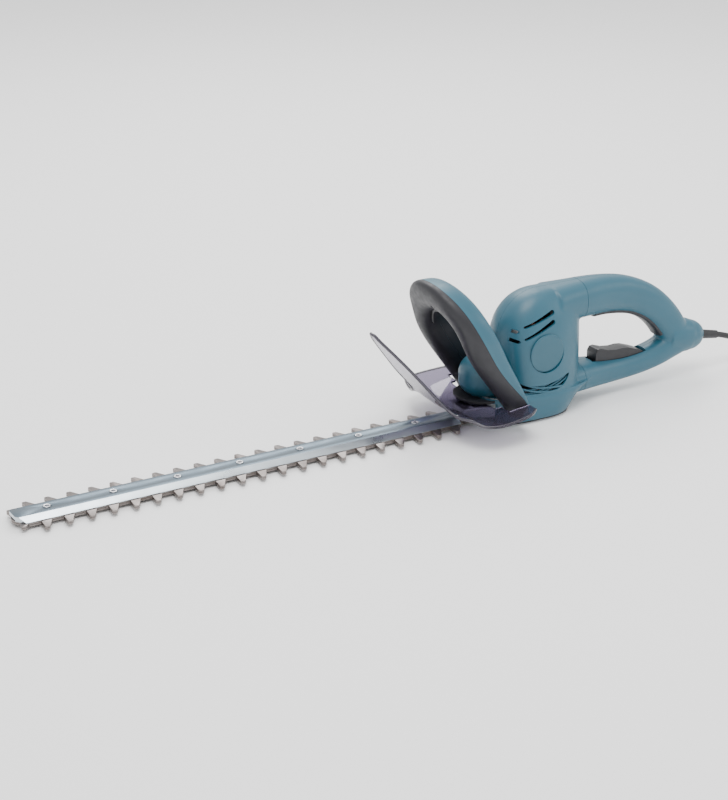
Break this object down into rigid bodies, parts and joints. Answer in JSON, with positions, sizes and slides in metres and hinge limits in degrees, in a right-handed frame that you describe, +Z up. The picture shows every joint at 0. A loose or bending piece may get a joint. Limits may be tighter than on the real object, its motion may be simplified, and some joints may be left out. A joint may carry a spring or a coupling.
{
  "type": "electric hedge trimmer",
  "caption": "Corded electric hedge trimmer: long double-sided toothed blade, smoke-clear guard, front loop handle, motor housing with a closed rear handle, and a plug on a short cord.",
  "frame": {"origin": "centre of the tool's footprint without its cord, on the surface it rests on", "axes": "+X from the blade tip to the rear handle, +Y to the tool's right side, +Z up"},
  "size_m": [1.0632, 0.2917, 0.186],
  "materials": {
    "teal_plastic": "matte",
    "teal_badge": "satin",
    "black_rubber": "matte",
    "black_plastic": "matte",
    "smoke_guard": "gloss",
    "cast_aluminium": "cast",
    "bar_alloy": "brushed",
    "blade_steel": "ground",
    "bright_steel": "polished",
    "dark_steel": "black oxide",
    "lamination_steel": "bare",
    "copper_wire": "enamelled",
    "copper_bar": "machined",
    "brass": "bare",
    "carbon": "matte",
    "gear_steel": "machined",
    "film_yellow": "gloss",
    "cord_rubber": "matte"
  },
  "bodies": {
    "tool_body": {"housing_left": "teal_plastic", "housing_right": "teal_plastic", "handle_left": "teal_plastic", "handle_right": "teal_plastic", "grip_pad": "black_rubber", "skirt": "teal_plastic", "base_plate": "black_plastic", "nose_cover": "teal_plastic", "nose_collar": "black_rubber", "badge_left": "teal_badge", "badge_right": "teal_badge", "front_loop_front": "black_plastic", "front_loop_rear": "teal_plastic", "guard": "smoke_guard", "gear_housing": "cast_aluminium", "guide_bar": "bar_alloy", "blade_sleeves": "bright_steel", "blade_screws": "dark_steel", "blade_nuts": "bright_steel", "stator_core": "lamination_steel", "field_coils": "copper_wire", "motor_bracket": "black_plastic", "brush_holders": "brass", "carbon_brushes": "carbon", "motor_bearing_upper": "bright_steel", "motor_bearing_lower": "bright_steel", "fan_baffle": "black_plastic", "crank_bearing_upper": "bright_steel", "crank_bearing_lower": "bright_steel", "switch_unit": "black_plastic", "front_switch": "black_plastic", "capacitor": "film_yellow", "cord_clamp": "black_plastic", "clamp_screws": "bright_steel", "housing_screws": "dark_steel", "handle_screws": "dark_steel", "base_screws": "dark_steel", "loop_screws": "dark_steel", "gear_case_screws": "dark_steel", "cord_guard": "cord_rubber", "power_cord": "cord_rubber", "plug_body": "cord_rubber", "plug_pins": "brass", "trigger_pin": "bright_steel"},
    "rotor": {"armature_shaft": "bright_steel", "armature_core": "lamination_steel", "armature_windings": "copper_wire", "commutator": "copper_bar", "fan": "black_plastic", "pinion": "gear_steel"},
    "crank": {"crank_gear": "gear_steel", "crank_shaft": "gear_steel"},
    "upper_cutter": {"upper_blade": "blade_steel", "upper_yoke": "gear_steel", "upper_rivets": "bright_steel"},
    "lower_cutter": {"lower_blade": "blade_steel", "lower_yoke": "gear_steel", "yoke_rivets": "bright_steel"},
    "rear_trigger": {"trigger": "black_plastic"},
    "front_switch_lever": {"front_lever": "black_plastic"}
  },
  "joints": [
    {"name": "rotor_spin", "type": "hinge", "parent": "tool_body", "child": "rotor", "pos_m": [0.19, 0, 0.09], "axis": [0, 0, 1], "continuous": true},
    {"name": "crank_spin", "type": "hinge", "parent": "tool_body", "child": "crank", "pos_m": [0.154, 0, 0.02], "axis": [0, 0, 1], "continuous": true},
    {"name": "upper_blade_slide", "type": "slide", "parent": "tool_body", "child": "upper_cutter", "axis": [1, 0, 0], "range_m": [-0.006, 0.006]},
    {"name": "lower_blade_slide", "type": "slide", "parent": "tool_body", "child": "lower_cutter", "axis": [1, 0, 0], "range_m": [-0.006, 0.006]},
    {"name": "trigger_hinge", "type": "hinge", "parent": "tool_body", "child": "rear_trigger", "pos_m": [0.352, 0, 0.04], "axis": [0, -1, 0], "range_deg": [0, 6], "stiffness_Nm_per_rad": 3, "springref_deg": -5.73},
    {"name": "front_lever_slide", "type": "slide", "parent": "tool_body", "child": "front_switch_lever", "axis": [0, 0, 1], "range_m": [0, 0.004], "stiffness_N_per_m": 600, "springref_m": -0.004}
  ],
  "couplings": [
    {"joint": "crank_spin", "follows": "rotor_spin", "ratio": -0.14286},
    {"joint": "lower_blade_slide", "follows": "upper_blade_slide", "ratio": -1}
  ]
}
